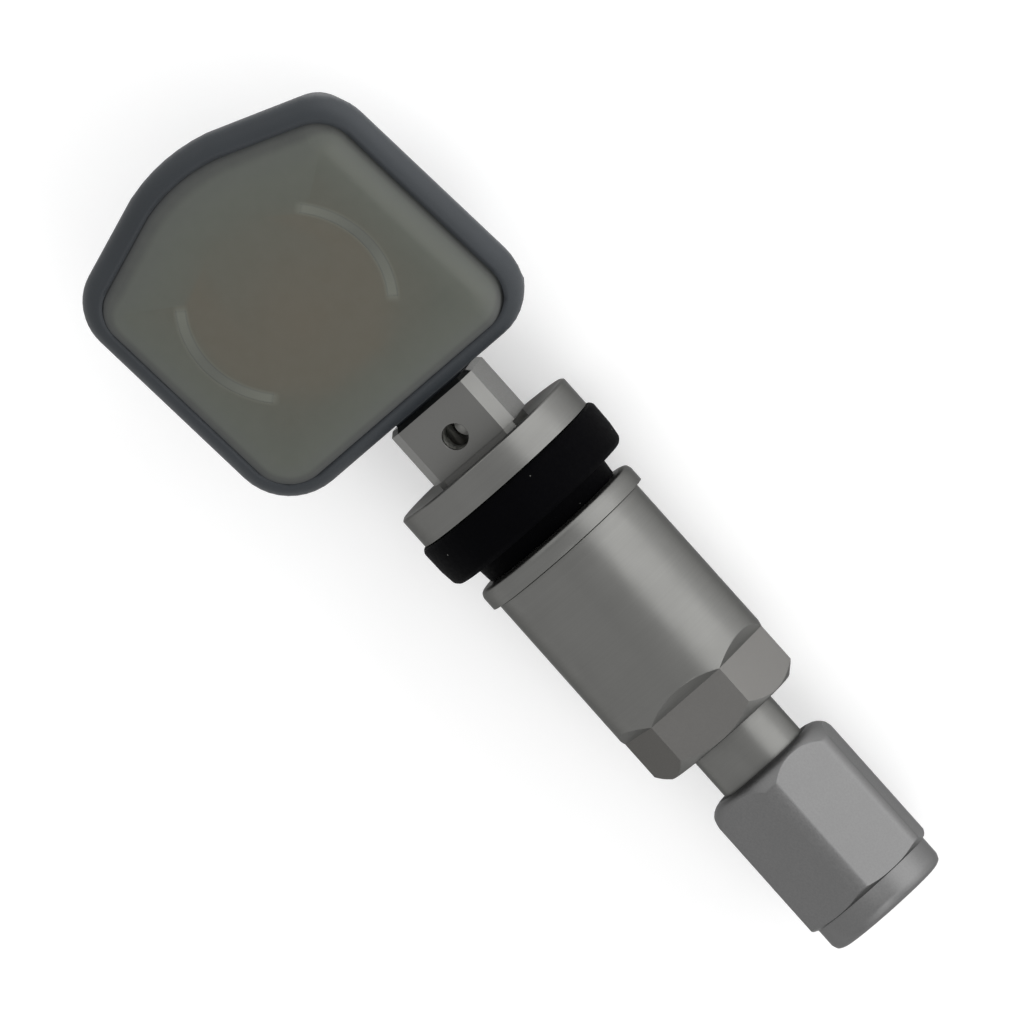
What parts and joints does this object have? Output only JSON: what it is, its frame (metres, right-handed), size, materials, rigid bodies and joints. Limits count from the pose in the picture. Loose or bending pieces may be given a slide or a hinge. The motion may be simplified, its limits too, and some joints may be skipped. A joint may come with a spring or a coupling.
{
  "type": "tyre pressure sensor",
  "caption": "Wheel-mounted tyre pressure sensor: potted housing screwed to a clamp-in metal valve with rubber grommet, thrust washer, long collar nut and hexagonal dust cap.",
  "frame": {"origin": "on the valve axis in the plane where the grommet's flange meets the wheel rim", "axes": "+X along the valve axis towards the cap, +Z the outward normal of the stem block's front face, +Y across the housing"},
  "size_m": [0.0786, 0.0272, 0.021],
  "materials": {
    "shell": "fine satin moulded plastic",
    "potting": "satin cast resin",
    "holder": "satin",
    "cell": "nickel-plated",
    "contact": "nickel-plated strip",
    "board": "solder mask",
    "chip": "moulded package",
    "seal": "soft",
    "can": "plated",
    "capacitor": "fired ceramic",
    "ferrite": "ground ferrite",
    "winding": "enamelled wire",
    "screw": "zinc-nickel",
    "stem": "fine turned, satin",
    "grommet": "matt",
    "nut": "fine turned, satin",
    "cap": "bead-blasted",
    "core": "turned",
    "spring": "drawn wire"
  },
  "bodies": {
    "sensor": {"housing_tray": "shell", "potting": "potting", "cell_holder": "holder", "coin_cell": "cell", "cell_tab_top": "contact", "cell_tab_bottom": "contact", "circuit_board": "board", "sensor_chip": "chip", "port_seal": "seal", "crystal": "can", "capacitors": "capacitor", "lf_coil_core": "ferrite", "lf_coil_winding": "winding", "antenna": "contact", "retaining_screw": "screw", "valve_stem": "stem", "grommet": "grommet", "core_head": "core", "core_barrel": "core", "core_seal": "seal", "core_spring": "spring"},
    "washer": {"thrust_washer": "nut"},
    "nut": {"collar_nut": "nut"},
    "seal_disc": {"cap_seal": "grommet"},
    "cap": {"valve_cap": "cap"},
    "pin": {"core_pin": "core", "cup_gasket": "grommet"}
  },
  "joints": [
    {"name": "nut_rise", "type": "slide", "parent": "sensor", "child": "washer", "axis": [1, 0, 0], "range_m": [0, 0.003]},
    {"name": "nut_turn", "type": "hinge", "parent": "washer", "child": "nut", "pos_m": [0.012, 0, 0], "axis": [1, 0, 0], "range_deg": [0, 1440]},
    {"name": "cap_rise", "type": "slide", "parent": "sensor", "child": "seal_disc", "axis": [1, 0, 0], "range_m": [0, 0.00397]},
    {"name": "cap_turn", "type": "hinge", "parent": "seal_disc", "child": "cap", "pos_m": [0.032, 0, 0], "axis": [1, 0, 0], "range_deg": [0, 1800]},
    {"name": "core_press", "type": "slide", "parent": "sensor", "child": "pin", "axis": [-1, 0, 0], "range_m": [0, 0.0012], "stiffness_N_per_m": 600, "springref_m": -0.002, "deforming": ["core_spring"]}
  ],
  "couplings": [
    {"joint": "nut_turn", "follows": "nut_rise", "rad_per_m": 8377.6},
    {"joint": "cap_turn", "follows": "cap_rise", "rad_per_m": 7915.8}
  ]
}
